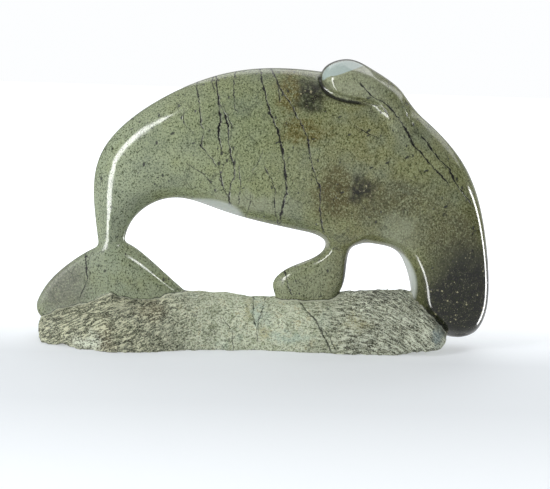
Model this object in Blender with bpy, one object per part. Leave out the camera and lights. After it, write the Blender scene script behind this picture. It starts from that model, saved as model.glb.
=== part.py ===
"""Whale carving: one block of serpentine, a polished arching whale growing out of a rough foot.

The whale is bent sideways, so that its outline lies in the XZ plane: the flukes stand on the left of
the rough foot, one flipper reaches down to the foot, the other is folded on the back, and the head
hangs on the right. Metres, +Z up, front towards -Y. The origin is on the flat underside.
"""

import bpy
import bmesh
import numpy as np

# Driving sizes, in metres
CARVING_LENGTH = 0.400      # fluke tip to brow
BODY_THICKNESS = 0.064      # front to back at the shoulders
FLIPPER_THICKNESS = 0.021   # the flipper that reaches the foot
FOLDED_THICKNESS = 0.046    # the flipper folded on the back
FOLDED_RELIEF = 0.002       # how far it stands out in front of the shoulders
FLUKE_THICKNESS = 0.022
FOOT_HEIGHT = 0.044         # the rough foot, table to top
FOOT_DEPTH = 0.076          # front to back at the underside
SEAT_DEPTH = 0.001          # the whale's own zero level lies this far below the foot's top
GRAIN = 0.0025              # the finest form that the fused stone keeps

# The whale is drawn on a grid of 400 steps to its length, with zero height at the foot's top.
STEP = CARVING_LENGTH / 400
SEAT = FOOT_HEIGHT - SEAT_DEPTH

# Each row of a form is a slice across it: (x, z) of its outer edge, (x, z) of its inner edge,
# thickness as a share of the form's own, and the widths of the outer and the inner bevel.
BODY_ROWS = (
    ((-144, 5), (-126, 5), 0.30, 10, 8),
    ((-145, 39), (-122, 43), 0.36, 12, 10),
    ((-149, 80), (-113.5, 65), 0.47, 12.5, 13),
    ((-140.5, 125), (-95, 79.8), 0.62, 12.5, 14),
    ((-97, 166), (-68, 83.4), 0.78, 12, 13),
    ((-29, 194.5), (-31, 72.3), 0.91, 10, 12),
    ((42, 197), (22, 60.8), 1.00, 10, 11),
    ((100, 182), (80, 51.4), 1.00, 10, 10),
    ((153.5, 143), (111.5, 46.5), 1.00, 9, 11),
    ((185, 94.5), (124, 34), 0.97, 8, 13),
    ((198.5, 32), (131, 14), 0.91, 7, 15),
    ((199, -8), (139, -11), 0.78, 8, 15),
    ((190, -28), (161.5, -30.2), 0.47, 6, 8),
)
SNOUT = (177, -33.3)

FLUKE_ROWS = (
    ((-50, -13), (-58, -28), 0.64, 5, 5),
    ((-67, 1.2), (-70, -30), 0.73, 9, 5),
    ((-85, 16.5), (-88, -32), 0.82, 10, 5),
    ((-112, 38.8), (-112, -32), 0.95, 10, 5),
    ((-133, 43.5), (-133, -32), 1.00, 8, 5),
    ((-160, 31.5), (-160, -32), 0.91, 6, 5),
    ((-186, 10), (-184, -31), 0.77, 5, 5),
    ((-198, -8), (-197, -25.5), 0.59, 4, 4),
)
FLUKE_TIP = (-200.5, -17)

FLIPPER_ROWS = (
    ((28, 74), (100, 66), 2.60, 6, 5),
    ((47, 58), (86, 51), 2.10, 6, 5),
    ((54.3, 46.5), (77.5, 43.5), 1.50, 6, 4),
    ((45, 35.5), (74.8, 32), 1.10, 7, 4),
    ((24, 25.8), (74, 21), 1.00, 8, 4),
    ((11.2, 15), (72.3, 11.5), 0.95, 7, 4),
    ((10, 5), (68.5, 3), 0.90, 6, 4),
    ((15, -8), (62, -8), 0.90, 6, 4),
)

FOLDED_ROWS = (
    ((134, 146), (114, 128), 0.60, 8, 8),
    ((119, 175), (104, 148), 0.92, 8, 6),
    ((106, 189), (98, 158), 1.00, 8, 5),
    ((94, 196.6), (91, 166), 1.04, 8, 5),
    ((85, 201.6), (84, 170.5), 1.06, 8, 4),
    ((68, 207.6), (68, 172.5), 1.04, 12, 4),
    ((49.3, 202), (51, 178), 0.86, 9, 4),
)
FOLDED_TIP = (44, 190)

# The foot's rows: place between its ends, top and bottom as shares of its height, and depth share
FOOT_ROWS = (
    (0.003, 0.29, 0.16, 0.26),
    (0.024, 0.43, -0.05, 0.70),
    (0.091, 0.63, -0.09, 0.96),
    (0.200, 0.90, -0.25, 1.22),
    (0.290, 0.88, -0.25, 1.12),
    (0.395, 1.01, -0.25, 0.87),
    (0.540, 0.95, -0.25, 0.73),
    (0.700, 1.02, -0.25, 0.80),
    (0.850, 1.17, -0.22, 0.78),
    (0.925, 1.06, 0.00, 0.68),
    (0.965, 0.68, 0.03, 0.52),
    (0.996, 0.27, 0.10, 0.18),
)
FOOT_ENDS = (-0.495, 0.410)  # its ends as shares of the carving's length, so it bears flukes and head
FOOT_TAPER = 0.24           # how much narrower the foot is at its top, and wider below

EDGE_SHARPNESS = 8          # a higher power gives crisper edges between the faces of a slice
EDGE_FLAT = 0.35            # share of the thickness that stays upright at a slice's edge
CROWN = 0.10                # how much a face falls back from its middle to its edges
FILLET_PASSES = 3           # smoothing passes that round the joints between the forms
FACE_SHARE = 0.10           # share of the fused faces that is kept, fewest where the stone is flat

STONE_COLOUR = (0.19, 0.20, 0.115, 1.0)


def spline(values, at):
    """Natural cubic spline through values at 0, 1, 2 ..., read at the places given."""
    values = np.asarray(values, float)
    count = len(values)
    system = np.eye(count)
    right = np.zeros_like(values)
    for k in range(1, count - 1):
        system[k, k - 1:k + 2] = (1, 4, 1)
        right[k] = 6 * (values[k - 1] - 2 * values[k] + values[k + 1])
    bend = np.linalg.solve(system, right)
    left = np.clip(np.floor(at).astype(int), 0, count - 2)
    b = at - left
    a = 1 - b
    if values.ndim > 1:
        a, b = a[:, None], b[:, None]
    return (a * values[left] + b * values[left + 1]
            + ((a ** 3 - a) * bend[left] + (b ** 3 - b) * bend[left + 1]) / 6)


def slice_outline(breadth, thickness, outer_bevel, inner_bevel, turn):
    """One slice of a slab with bevelled, rounded edges: across (u) and front to back (v).

    The slab's faces, ends and bevels are lines, each scaled to 1 on itself; the power mean of them
    all is 1 on the outline, which rounds every corner. All sizes are half sizes.
    """
    u = breadth * np.cos(turn)
    v = thickness * np.sin(turn)
    rise = thickness * (1 - EDGE_FLAT)
    faces = [np.abs(v) / thickness, np.abs(u) / breadth]
    for side, bevel in ((1, outer_bevel), (-1, inner_bevel)):
        reach = breadth + bevel * EDGE_FLAT / (1 - EDGE_FLAT)
        faces.append(np.maximum(0, (side * u + bevel * np.abs(v) / rise) / reach))
    size = np.sum(np.power(faces, EDGE_SHARPNESS), axis=0) ** (1 / EDGE_SHARPNESS)
    u, v = u / size, v / size
    u = u * breadth / np.abs(u).max()
    v = v * thickness / np.abs(v).max()
    return u, v * (1 - CROWN * (u / breadth) ** 2)


def form_slices(rows, tip, thickness, count, sides):
    """The slices of a form, from its buried end to its tip, as points of shape (count, sides, 3).

    The outline is one spline that runs out along the outer edge, through the tip and back along the
    inner edge, so it is smooth at the tip. Without a tip, each edge is a spline of its own.
    """
    outer = np.array([row[0] for row in rows], float)
    inner = np.array([row[1] for row in rows], float)
    shares = np.array([row[2] for row in rows], float)
    bevels = np.array([row[3:] for row in rows], float)
    if tip is None:
        at = np.linspace(0, len(rows) - 1, count)
        outer_edge, inner_edge = spline(outer, at), spline(inner, at)
        half = spline(shares, at)
    else:
        at = np.linspace(0, len(rows), count + 1)[:-1]
        around = np.vstack([outer, [tip], inner[::-1]])
        outer_edge, inner_edge = spline(around, at), spline(around, 2 * len(rows) - at)
        half = spline(np.concatenate([shares, [0], -shares[::-1]]), at)
    width = spline(bevels, np.minimum(at, len(rows) - 1))
    turn = np.linspace(0, 2 * np.pi, sides, endpoint=False)
    slices = []
    for one, two, share, (outer_bevel, inner_bevel) in zip(outer_edge, inner_edge, half, width):
        breadth = np.linalg.norm(one - two) / 2
        limit = 0.95 * breadth
        u, v = slice_outline(breadth, share * thickness / 2 / STEP,
                             min(outer_bevel, limit), min(inner_bevel, limit), turn)
        across = (one - two) / (2 * breadth)
        middle = (one + two) / 2
        slices.append(np.column_stack([middle[0] + across[0] * u, v, middle[1] + across[1] * u]))
    return np.array(slices)


def add_form(bm, slices, tip):
    """Adds a closed form: bands of quads over its slices, a flat cap at the start, and a tip or cap."""
    rings = [[bm.verts.new(point) for point in ring] for ring in slices]
    for ring, following in zip(rings, rings[1:]):
        for k in range(len(ring)):
            nearby = (k + 1) % len(ring)
            bm.faces.new((ring[k], ring[nearby], following[nearby], following[k]))
    bm.faces.new(rings[0][::-1])
    if tip is None:
        bm.faces.new(rings[-1])
    else:
        point = bm.verts.new(tip)
        last = rings[-1]
        for k in range(len(last)):
            bm.faces.new((last[k], last[(k + 1) % len(last)], point))


def add_whale_form(bm, rows, tip, thickness, count, sides, forward=0.0):
    """Adds a form of the whale, from its rows on the drawing's grid, at the seat's height."""
    place = np.array([0, -forward, SEAT])
    slices = form_slices(rows, tip, thickness, count, sides) * STEP + place
    end = None if tip is None else np.array([tip[0], 0, tip[1]]) * STEP + place
    add_form(bm, slices, end)


def add_rough_foot(bm, count, sides):
    """Adds the unworked block: tapered slices along X, with low swells as split stone has."""
    rows = np.array(FOOT_ROWS)
    at = np.linspace(0, len(rows) - 1, count)
    along, top, bottom, depth = spline(rows, at).T
    turn = np.linspace(0, 2 * np.pi, sides, endpoint=False)
    start, stop = (share * CARVING_LENGTH for share in FOOT_ENDS)
    slices = []
    for x, high, low, deep in zip(start + along * (stop - start), top, bottom, depth):
        half_height = (high - low) * FOOT_HEIGHT / 2
        u, v = slice_outline(half_height, deep * FOOT_DEPTH / 2,
                             0.4 * half_height, 0.2 * half_height, turn)
        v = v * (1 - FOOT_TAPER * u / half_height)
        slices.append(np.column_stack([np.full(sides, x), v, (high + low) * FOOT_HEIGHT / 2 + u]))
    points = np.array(slices)
    x, y, z = (points[..., k] / STEP for k in range(3))
    swell = (0.9 * np.sin(x / 9 + 0.11 * z + y / 17) + 0.7 * np.sin(x / 5.2 - y / 8 + 1.3)
             + 0.5 * np.sin(z / 4 + x / 15 + 2.1))
    outward = points - points.mean(axis=1, keepdims=True)
    outward /= np.linalg.norm(outward, axis=2, keepdims=True)
    add_form(bm, points + outward * swell[..., None] * STEP, None)


def overlapping_forms():
    """All forms in one mesh, each closed, overlapping where the block of stone runs through."""
    bm = bmesh.new()
    add_whale_form(bm, BODY_ROWS, SNOUT, BODY_THICKNESS, 120, 48)
    add_whale_form(bm, FLUKE_ROWS, FLUKE_TIP, FLUKE_THICKNESS, 56, 32)
    add_whale_form(bm, FLIPPER_ROWS, None, FLIPPER_THICKNESS, 32, 32)
    proud = BODY_THICKNESS / 2 + FOLDED_RELIEF - FOLDED_THICKNESS / 2
    add_whale_form(bm, FOLDED_ROWS, FOLDED_TIP, FOLDED_THICKNESS, 40, 32, proud)
    add_rough_foot(bm, 100, 48)
    bmesh.ops.recalc_face_normals(bm, faces=bm.faces)
    mesh = bpy.data.meshes.new("whale_carving")
    bm.to_mesh(mesh)
    bm.free()
    carving = bpy.data.objects.new("whale_carving", mesh)
    bpy.context.scene.collection.objects.link(carving)
    return carving


def fuse(carving):
    """Makes one skin of the overlapping forms, rounds their joints and thins out the flat faces."""
    skin = carving.modifiers.new("fused", "REMESH")
    skin.mode = "VOXEL"
    skin.voxel_size = GRAIN
    fillets = carving.modifiers.new("fillets", "SMOOTH")
    fillets.factor = 0.5
    fillets.iterations = FILLET_PASSES
    thin = carving.modifiers.new("thin", "DECIMATE")
    thin.ratio = FACE_SHARE


def ground_block():
    """What is cut away below the flat underside."""
    bpy.ops.mesh.primitive_cube_add(size=1)
    block = bpy.context.object
    block.name = "ground"
    margin = 1.5
    height = 0.2 * CARVING_LENGTH
    block.scale = (margin * CARVING_LENGTH, margin * CARVING_LENGTH, height)
    block.location = (0, 0, -height / 2)
    return block


def stand_flat(carving, block):
    """Cuts the carving off flat at the level it stands on, and keeps the cutter out of the result."""
    block.hide_render = True
    block.display_type = "WIRE"
    cut = carving.modifiers.new("underside", "BOOLEAN")
    cut.operation = "DIFFERENCE"
    cut.solver = "EXACT"
    cut.object = block


def stone_material():
    material = bpy.data.materials.new("serpentine")
    material.use_nodes = True
    shader = material.node_tree.nodes["Principled BSDF"]
    shader.inputs["Base Color"].default_value = STONE_COLOUR
    shader.inputs["Roughness"].default_value = 0.25
    shader.inputs["Metallic"].default_value = 0.0
    return material


def build():
    for thing in list(bpy.data.objects):
        bpy.data.objects.remove(thing)
    carving = overlapping_forms()
    fuse(carving)
    stand_flat(carving, ground_block())
    carving.data.materials.append(stone_material())
    carving.data.shade_smooth()


build()
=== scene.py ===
"""Finish and light for the whale carving: polished serpentine growing out of a split, tooled foot.

The stone is one closed surface. It is worked out as a field in space, negative inside the stone,
whose forms melt into one another, and the surface is read off where the field is zero. Its lengths
are in steps of the carving's own grid, 400 of them to its length, those of the finish in millimetres
and those of the floor and the lights in metres.
"""

import math

import bpy
import numpy as np
from mathutils import Matrix, Vector


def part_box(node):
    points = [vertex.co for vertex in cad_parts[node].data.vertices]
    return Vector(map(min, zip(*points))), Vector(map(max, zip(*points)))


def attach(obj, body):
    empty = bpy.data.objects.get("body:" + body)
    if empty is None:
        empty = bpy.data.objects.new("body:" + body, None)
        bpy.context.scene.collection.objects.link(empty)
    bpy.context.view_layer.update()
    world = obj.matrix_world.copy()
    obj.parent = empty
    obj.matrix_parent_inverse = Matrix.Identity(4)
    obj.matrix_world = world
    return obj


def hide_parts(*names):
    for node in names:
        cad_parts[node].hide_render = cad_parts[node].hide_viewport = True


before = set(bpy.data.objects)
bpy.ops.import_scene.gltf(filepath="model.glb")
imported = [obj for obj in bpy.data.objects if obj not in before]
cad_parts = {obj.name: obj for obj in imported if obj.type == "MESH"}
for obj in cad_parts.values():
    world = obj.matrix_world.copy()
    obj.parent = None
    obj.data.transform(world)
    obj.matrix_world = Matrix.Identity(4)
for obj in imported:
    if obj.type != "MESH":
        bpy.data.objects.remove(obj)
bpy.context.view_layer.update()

NODE = "whale_carving"
node_low, node_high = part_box(NODE)

GRID_REACH = 399.2  # steps from fluke tip to brow
STEP = (node_high.x - node_low.x) / GRID_REACH
SEAT = 43.0  # the whale's own zero level above the table

BODY_THICKNESS = 64.0
FLIPPER_THICKNESS = 21.0
FOLDED_THICKNESS = 46.0
FOLDED_RELIEF = 2.0
FLUKE_THICKNESS = 22.0
FOOT_HEIGHT = 44.0
FOOT_DEPTH = 76.0

# Each row is a slice across a form: its outer edge, its inner edge, thickness share, two bevels.
BODY_ROWS = (
    ((-144, 5), (-126, 5), 0.30, 10, 8),
    ((-145, 39), (-122, 43), 0.36, 12, 10),
    ((-149, 80), (-113.5, 65), 0.47, 12.5, 13),
    ((-140.5, 125), (-95, 79.8), 0.62, 12.5, 14),
    ((-97, 166), (-68, 83.4), 0.78, 12, 9),
    ((-29, 194.5), (-31, 72.3), 0.91, 10, 8),
    ((42, 197), (22, 60.8), 1.00, 10, 11),
    ((100, 182), (80, 51.4), 1.00, 12, 10),
    ((153.5, 143), (111.5, 46.5), 1.00, 11, 8),
    ((185, 94.5), (124, 34), 0.97, 6.5, 9),
    ((198.5, 32), (131, 14), 0.91, 4.5, 10.5),
    ((199, -8), (139, -11), 0.78, 5, 10),
    ((190, -28), (161.5, -30.2), 0.47, 6, 8),
)
SNOUT = (177, -33.3)

FLUKE_ROWS = (
    ((-50, -13), (-58, -28), 0.64, 2.5, 5),
    ((-67, 1.2), (-70, -30), 0.73, 3, 5),
    ((-85, 16.5), (-88, -32), 0.82, 6.5, 5),
    ((-112, 38.8), (-112, -32), 0.95, 10.5, 5),
    ((-133, 43.5), (-133, -32), 1.00, 7, 5),
    ((-160, 31.5), (-160, -32), 0.91, 1.8, 5),
    ((-186, 10), (-184, -31), 0.77, 1.6, 5),
    ((-198, -8), (-197, -25.5), 0.59, 1.6, 4),
)
FLUKE_TIP = (-200.5, -17)

FLIPPER_ROWS = (
    ((28, 74), (100, 66), 2.60, 6, 5),
    ((47, 58), (86, 51), 2.10, 6, 5),
    ((54.3, 46.5), (77.5, 43.5), 1.50, 3.5, 4),
    ((45, 35.5), (74.8, 32), 1.10, 4, 4),
    ((24, 25.8), (74, 21), 1.00, 6, 4),
    ((11.2, 15), (72.3, 11.5), 0.95, 8, 4),
    ((10, 5), (68.5, 3), 0.90, 8, 4),
    ((15, -8), (62, -8), 0.90, 6, 4),
)

FOLDED_ROWS = (
    ((134, 146), (114, 128), 0.60, 8, 8),
    ((119, 175), (104, 148), 0.92, 8, 6),
    ((106, 189), (98, 158), 1.00, 8, 5),
    ((94, 196.6), (91, 166), 1.04, 8, 5),
    ((85, 201.6), (84, 170.5), 1.06, 8, 4),
    ((68, 207.6), (68, 172.5), 1.04, 12, 4),
    ((49.3, 202), (51, 178), 0.86, 9, 4),
)
FOLDED_TIP = (44, 190)

# The foot's rows: place between its ends, top and bottom as shares of its height, and depth share
FOOT_ROWS = (
    (0.003, 0.29, 0.16, 0.26),
    (0.024, 0.43, -0.05, 0.70),
    (0.091, 0.63, -0.09, 0.96),
    (0.200, 0.90, -0.25, 1.19),
    (0.290, 0.88, -0.25, 1.12),
    (0.395, 1.01, -0.25, 0.87),
    (0.540, 0.95, -0.25, 0.73),
    (0.700, 1.02, -0.25, 0.80),
    (0.850, 1.17, -0.22, 0.78),
    (0.925, 1.06, 0.00, 0.78),
    (0.965, 0.78, 0.03, 0.80),
    (0.996, 0.46, 0.10, 0.62),
)
FOOT_ENDS = (-198.0, 165.0)
FOOT_TAPER = 0.24

EDGE_FLAT = 0.35  # share of the thickness that stays upright at a slice's edge
CROWN = 0.10  # how much a face falls back from its middle to its edges
THINNEST = 0.12  # the least share of its thickness that a form has at its tip
WIDEST_BEVEL = 0.48  # as a share of the form's width
OVERSHOOT = 9  # how far a slice reaches past the outline
RIDGE_PLACES = (0, 1, 2, 3, 4, 5, 6, 7, 8, 9, 10, 12)
RIDGE_RADII = (4.0, 4.6, 3.2, 3.0, 7.5, 9.0, 7.0, 6.0, 4.8, 4.1, 4.0, 3.0)  # softness of ridges there
FOLDED_RIDGE = 1.0  # softness of the ridges on the folded flipper
BLADE_RIDGE = 1.6  # softness of the ridges on the flukes and the lower flipper
RIM_RADIUS = 1.5  # softness of the rim, where a slope meets the outline
SPLIT_RADIUS = 3.0  # softness of the foot's edges
BLADES = (("flipper", 7.0), ("flukes", 4.0))  # thin forms, with the fillets where they grow out
FOLDED_FILLET, FREE_FILLET = 8.0, 0.8  # where the folded flipper grows out, and where not
FOOT_FILLET = 0.8
GROOVE_DEPTH, GROOVE_WIDTH = 1.7, 1.8
FACET_LEAN = (-0.284, -0.635, 0.720)  # the flat facet ground on the folded flipper
FACET_PLACE = (46.1, -33.0, 232.2)
FACET_END = 100  # it lies to the left of this place
STROKE_ALONG, STROKE_UP = 0.906, 0.423  # the direction of the foot's tool strokes
# Where the rough ledge meets the flukes, as (place, height)
LEDGE = ((-202, 18), (-190, 23), (-176, 29.5), (-156, 34), (-140, 40), (-131, 44.5), (-124, 41.5),
         (-113, 39.5), (-100, 40), (-86, 42.5), (-72, 45), (-60, 44.5))
SPACING_X = 1.62  # distances between the points that the surface is read on
SPACING_Y = 1.75
SPACING_FOOT = 1.22  # upright, over the foot, and higher up
SPACING_WHALE = 2.05
GRID_MARGINS = (5, 6, 5)  # how far those points reach past the stone
FLAT_SPACING = 0.8  # distance between the points of the flat drawing
MARGIN = 8  # how far the flat drawing reaches past the stone


def spline(values, at):
    """Natural cubic spline through values at 0, 1, 2 ..., read at the places given."""
    values = np.asarray(values, float)
    count = len(values)
    system = np.eye(count)
    right = np.zeros_like(values)
    for k in range(1, count - 1):
        system[k, k - 1:k + 2] = (1, 4, 1)
        right[k] = 6 * (values[k - 1] - 2 * values[k] + values[k + 1])
    bend = np.linalg.solve(system, right)
    at = np.asarray(at, float)
    left = np.clip(np.floor(at).astype(int), 0, count - 2)
    b = at - left
    a = 1 - b
    if values.ndim > 1:
        a, b = a[..., None], b[..., None]
    return (a * values[left] + b * values[left + 1]
            + ((a ** 3 - a) * bend[left] + (b ** 3 - b) * bend[left + 1]) / 6)


def to_line(x, z, line, places):
    """Distance from every point to a polyline, and the place on it that is nearest.

    For each straight run of the line, the foot of the perpendicular is held between its ends; the
    nearest of all runs wins.
    """
    best = np.full(x.shape, np.inf)
    place = np.zeros(x.shape)
    for (x0, z0), (x1, z1), p0, p1 in zip(line, line[1:], places, places[1:]):
        dx, dz = x1 - x0, z1 - z0
        share = np.clip(((x - x0) * dx + (z - z0) * dz) / (dx * dx + dz * dz + 1e-12), 0, 1)
        gap = (x - x0 - share * dx) ** 2 + (z - z0 - share * dz) ** 2
        nearer = gap < best
        best = np.where(nearer, gap, best)
        place = np.where(nearer, p0 + share * (p1 - p0), place)
    return np.sqrt(best), place


def inside(x, z, loop):
    """True for the points that a closed polyline goes round: an upright ray crosses it oddly often."""
    odd = np.zeros(x.shape, bool)
    for (x0, z0), (x1, z1) in zip(loop, np.roll(loop, -1, axis=0)):
        if x0 != x1:
            odd ^= ((x0 > x) != (x1 > x)) & (z < (z1 - z0) * (x - x0) / (x1 - x0) + z0)
    return odd


class Drawing:
    """The flat drawing: an upright grid of points on which each form's fields are kept."""

    def __init__(self):
        self.x = np.arange(node_low.x / STEP - MARGIN, node_high.x / STEP + MARGIN, FLAT_SPACING)
        self.z = np.arange(-MARGIN, node_high.z / STEP + MARGIN, FLAT_SPACING)
        self.grid_x, self.grid_z = np.meshgrid(self.x, self.z, indexing="ij")
        self.forms = {}

    def add(self, name, rows, tip, thickness, samples):
        """Keeps a form's fields: depth behind its outline, half thickness, bevel width and place.

        The outline is one spline out along the outer edge, through the tip and back. The thickness
        follows the slice a point lies on, and the bevels of both edges are blended by how near each
        is, so no seam shows along the middle.
        """
        count = len(rows)
        outer = np.array([row[0] for row in rows], float)
        inner = np.array([row[1] for row in rows], float)
        shares = np.array([row[2] for row in rows], float)
        bevels = np.array([row[3:] for row in rows], float)
        if tip is None:
            at = np.linspace(0, count - 1, samples)
            lines = spline(outer, at), spline(inner, at)
        else:
            at = np.linspace(0, count, samples)
            around = np.vstack([outer, [tip], inner[::-1]])
            lines = spline(around, at), spline(around, 2 * count - at)
            shares = np.concatenate([shares, [0], -shares[::-1]])
        lines = [line + (0, SEAT) for line in lines]
        x, z = self.grid_x, self.grid_z
        to_outer, outer_place = to_line(x, z, lines[0], at)
        to_inner, inner_place = to_line(x, z, lines[1], at)
        to_ends = [to_line(x, z, [line[end] for line in lines], (0, 1))[0] for end in (0, -1)]
        within = inside(x, z, np.vstack([lines[0], lines[1][::-1]]))
        nearest = np.minimum.reduce([to_outer, to_inner, *to_ends])
        depth = np.where(within, nearest, -nearest)
        total = to_outer + to_inner + 1e-6
        near_outer = to_inner / total
        aside = outer_place * near_outer + inner_place * (1 - near_outer)
        place = self.along_slices(lines, at, aside)
        half = np.maximum(spline(shares, place), THINNEST) * thickness / 2
        kept = np.clip(place, 0, count - 1)
        outer_bevel, inner_bevel = spline(bevels[:, 0], kept), spline(bevels[:, 1], kept)
        bevel = outer_bevel * near_outer + inner_bevel * (1 - near_outer)
        bevel = np.minimum(bevel, WIDEST_BEVEL * total)
        crown = ((to_outer - to_inner) / total) ** 2
        self.forms[name] = np.stack([depth, half * (1 - CROWN * crown), bevel, place])

    def along_slices(self, lines, at, aside):
        """Which slice each point lies on; a point well outside takes the place of its nearest edge.

        Between two neighbouring slices, the place is shared out by the distances to both. A slice
        reaches a little past the outline, so the place runs on smoothly there.
        """
        x, z = self.grid_x, self.grid_z
        place = np.full(x.shape, np.nan)
        outer, inner = lines
        middle, half = (outer + inner) / 2, (inner - outer) / 2
        length = np.hypot(*half.T) + 1e-9
        across = half / length[:, None]
        for k in range(len(at) - 1):
            (mx, mz), (ax, az), reach = middle[k], across[k], length[k] + OVERSHOOT
            nx, nz = middle[k + 1]
            bx, bz = across[k + 1]
            far = reach + 6
            i0, i1 = np.searchsorted(self.x, (min(mx, nx) - far, max(mx, nx) + far))
            k0, k1 = np.searchsorted(self.z, (min(mz, nz) - far, max(mz, nz) + far))
            px, pz = x[i0:i1, k0:k1], z[i0:i1, k0:k1]
            before = (px - mx) * az - (pz - mz) * ax
            after = (px - nx) * bz - (pz - nz) * bx
            beside = np.abs((px - mx) * ax + (pz - mz) * az) < reach
            between = beside & (before * after <= 0) & (before != after)
            share = np.where(between, before / np.where(between, before - after, 1), 0)
            window = place[i0:i1, k0:k1]
            free = between & np.isnan(window)
            window[free] = (at[k] + share * (at[k + 1] - at[k]))[free]
        return np.where(np.isnan(place), aside, place)

    def read(self, name, x, z):
        """A form's fields at any points, blended from the four drawing points around each."""
        fields = self.forms[name]
        u = np.clip((x - self.x[0]) / FLAT_SPACING, 0, len(self.x) - 1.001)
        w = np.clip((z - self.z[0]) / FLAT_SPACING, 0, len(self.z) - 1.001)
        i, k = u.astype(int), w.astype(int)
        u, w = u - i, w - k
        return (fields[:, i, k] * (1 - u) * (1 - w) + fields[:, i + 1, k] * u * (1 - w)
                + fields[:, i, k + 1] * (1 - u) * w + fields[:, i + 1, k + 1] * u * w)


def soft_max(parts, radius):
    """The largest of several fields, with the corners between them rounded: r log sum exp(f / r)."""
    top = np.maximum.reduce(parts)
    total = sum(np.exp((part - top) / radius) for part in parts)
    return top + radius * np.log(total)


def melt(one, two, width):
    """The smaller of two fields, joined by a fillet of the given width where they are alike."""
    near = np.clip(0.5 + 0.5 * (two - one) / width, 0, 1)
    return two + (one - two) * near - width * near * (1 - near)


def bevel_slope(depth, half, bevel, y):
    """The slope from an outline, at EDGE_FLAT of the half thickness, to the face a bevel further in."""
    rise = (1 - EDGE_FLAT) * half
    return (bevel * (y - EDGE_FLAT * half) - rise * depth) / np.sqrt(bevel ** 2 + rise ** 2)


def slab(depth, half, bevel, y, ridge):
    """A bevelled slab: outline, face and the slope between them, joined by rounded ridges."""
    y = np.abs(y)
    face = soft_max([y - half, bevel_slope(depth, half, bevel, y)], ridge)
    return soft_max([face, -depth], RIM_RADIUS)


# Noise and relief of the stone

def lattice(i, j, k, seed):
    """A number from 0 to 1 for every lattice point, from its whole coordinates mixed as integers."""
    mixed = (i * 73856093) ^ (j * 19349663) ^ (k * 83492791) ^ (seed * 2654435761)
    mixed = (mixed ^ (mixed >> 13)) * 1274126177
    return ((mixed ^ (mixed >> 16)) & 0xFFFFFF) / float(0xFFFFFF)


def noise(x, y, z, seed=0):
    """Value noise from -1 to 1: the eight lattice numbers around a point, blended by smooth steps."""
    i, j, k = (np.floor(c).astype(np.int64) for c in (x, y, z))
    u, v, w = x - i, y - j, z - k
    u, v, w = (c * c * c * (c * (6 * c - 15) + 10) for c in (u, v, w))
    total = 0
    for a in (0, 1):
        for b in (0, 1):
            for c in (0, 1):
                weight = (u if a else 1 - u) * (v if b else 1 - v) * (w if c else 1 - w)
                total = total + weight * lattice(i + a, j + b, k + c, seed)
    return 2 * total - 1


def foot_relief(x, y, z):
    """How far the split stone swells: long swells, lumps, and tool strokes that run along the foot."""
    swell = (0.9 * np.sin(x / 9 + 0.11 * z + y / 17) + 0.7 * np.sin(x / 5.2 - y / 8 + 1.3)
             + 0.5 * np.sin(z / 4 + x / 15 + 2.1))
    lumps = 0.8 * noise(x / 13, y / 11, z / 8, 3) + 0.5 * noise(x / 5.5, y / 5, z / 4, 5)
    along = STROKE_ALONG * x + STROKE_UP * z
    across = STROKE_ALONG * z - STROKE_UP * x
    strokes = 1 - 2 * np.abs(noise(along / 8, y / 5, across / 3.2, 8))
    ends = np.clip((np.abs(x - 8) - 38) / 45, 0.2, 1)
    return 0.5 * swell + lumps + 0.85 * ends * strokes


def foot_field(x, y, z):
    """The foot: a tapered slab along X, whose top, bottom and depth follow its rows."""
    rows = np.array(FOOT_ROWS)
    at = np.linspace(0, len(rows) - 1, 400)
    along, top, bottom, deep = spline(rows, at).T
    place = FOOT_ENDS[0] + along * (FOOT_ENDS[1] - FOOT_ENDS[0])
    high = np.interp(x, place, top * FOOT_HEIGHT)
    low = np.interp(x, place, bottom * FOOT_HEIGHT)
    half = np.interp(x, place, deep * FOOT_DEPTH / 2)
    near = np.exp(-(np.maximum(np.abs(y) - 12, 0) / 13) ** 2) * np.clip((-58 - x) / 12, 0, 1)
    high = high + near * (np.interp(x, *np.transpose(LEDGE)) - high)
    up = z - (high + low) / 2
    tall = (high - low) / 2
    across = np.abs(y) / (1 - FOOT_TAPER * np.clip(up / tall, -1.3, 1.3))
    parts = [across - half, up - tall, -up - tall, FOOT_ENDS[0] + 1 - x, x - FOOT_ENDS[1] + 1]
    for depth, bevel in ((tall - up, 0.4 * tall), (tall + up, 0.2 * tall)):
        parts.append(bevel_slope(depth, half, bevel, across))
    return soft_max(parts, SPLIT_RADIUS)


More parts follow.
